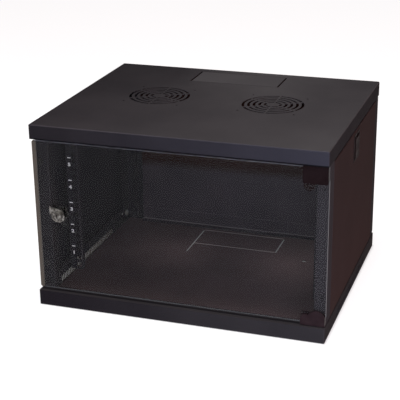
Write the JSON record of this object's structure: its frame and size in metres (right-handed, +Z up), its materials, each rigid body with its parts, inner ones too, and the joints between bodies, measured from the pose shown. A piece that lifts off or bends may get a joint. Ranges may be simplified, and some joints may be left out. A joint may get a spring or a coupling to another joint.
{
  "type": "wall mount network cabinet",
  "caption": "Wall mount network cabinet with a glass door on pin hinges, cam lock, lift-off side panels, rack rails inside, ring-slot fan grilles in the lid and knock-out cable entries",
  "frame": {"origin": "middle of the underside of the base tray", "axes": "+X to the right seen from the front, -Y to the front (glass door), +Y to the wall, +Z up"},
  "size_m": [0.54, 0.45, 0.35],
  "materials": {
    "powder_coat": "black fine textured powder coat, satin",
    "panel_coat": "black fine textured powder coat, satin",
    "rail_coat": "black powder coat, satin",
    "door_glass": "clear toughened glass, slightly grey, ground edges",
    "hinge_coat": "black lacquered die casting, semi gloss",
    "nickel": "bright nickel plate",
    "black_zinc": "black passivated zinc plate",
    "zinc": "bright zinc plate",
    "spring_steel": "drawn spring steel",
    "rubber": "black rubber, matt",
    "nylon": "black nylon, matt",
    "latch_plastic": "black moulded plastic, satin"
  },
  "bodies": {
    "cabinet": {"top_cover": "powder_coat", "base_tray": "powder_coat", "back_panel": "powder_coat", "front_post_right": "powder_coat", "front_post_left": "powder_coat", "rear_post_right": "powder_coat", "rear_post_left": "powder_coat", "lower_beam_right": "rail_coat", "lower_beam_left": "rail_coat", "upper_beam_right": "rail_coat", "upper_beam_left": "rail_coat", "front_rail_right": "rail_coat", "front_rail_left": "rail_coat", "rear_rail_right": "rail_coat", "rear_rail_left": "rail_coat", "rail_bolts": "zinc", "rail_nuts": "zinc", "earth_stud": "zinc", "door_bumpers": "rubber", "upper_hinge_bush": "nylon", "lower_hinge_bush": "nylon"},
    "door": {"door_glass": "door_glass", "upper_hinge_clamp": "hinge_coat", "upper_hinge_pads": "rubber", "lower_hinge_clamp": "hinge_coat", "lower_hinge_pads": "rubber", "hinge_grub_screws": "hinge_coat", "pin_spring": "spring_steel", "lower_hinge_pin": "spring_steel", "lock_body": "nickel", "lock_washer": "nickel", "lock_nut": "nickel"},
    "lock_key": {"lock_plug": "nickel", "lock_cam": "black_zinc", "cam_screw": "zinc"},
    "hinge_pin": {"spring_pin": "spring_steel", "release_tab": "hinge_coat"},
    "panel_right": {"side_panel_right": "panel_coat", "latch_housing_right": "latch_plastic"},
    "panel_left": {"side_panel_left": "panel_coat", "latch_housing_left": "latch_plastic"},
    "latch_right": {"latch_slide_right": "latch_plastic"},
    "latch_left": {"latch_slide_left": "latch_plastic"}
  },
  "joints": [
    {"name": "door_hinge", "type": "hinge", "parent": "cabinet", "child": "door", "pos_m": [0.2625, -0.215, 0], "axis": [0, 0, 1], "range_deg": [0, 180]},
    {"name": "lock_turn", "type": "hinge", "parent": "door", "child": "lock_key", "pos_m": [-0.225, -0.217, 0.18], "axis": [0, 1, 0], "range_deg": [0, 90]},
    {"name": "pin_slide", "type": "slide", "parent": "door", "child": "hinge_pin", "axis": [0, 0, -1], "range_m": [0, 0.006], "stiffness_N_per_m": 200, "springref_m": -0.01, "deforming": ["pin_spring"]},
    {"name": "panel_tilt_right", "type": "hinge", "parent": "cabinet", "child": "panel_right", "pos_m": [0.269, 0, 0.0296], "axis": [0, 1, 0], "range_deg": [0, 15]},
    {"name": "panel_tilt_left", "type": "hinge", "parent": "cabinet", "child": "panel_left", "pos_m": [-0.269, 0, 0.0296], "axis": [0, -1, 0], "range_deg": [0, 15]},
    {"name": "latch_slide_right", "type": "slide", "parent": "panel_right", "child": "latch_right", "axis": [0, 0, 1], "range_m": [0, 0.008]},
    {"name": "latch_slide_left", "type": "slide", "parent": "panel_left", "child": "latch_left", "axis": [0, 0, 1], "range_m": [0, 0.008]}
  ]
}
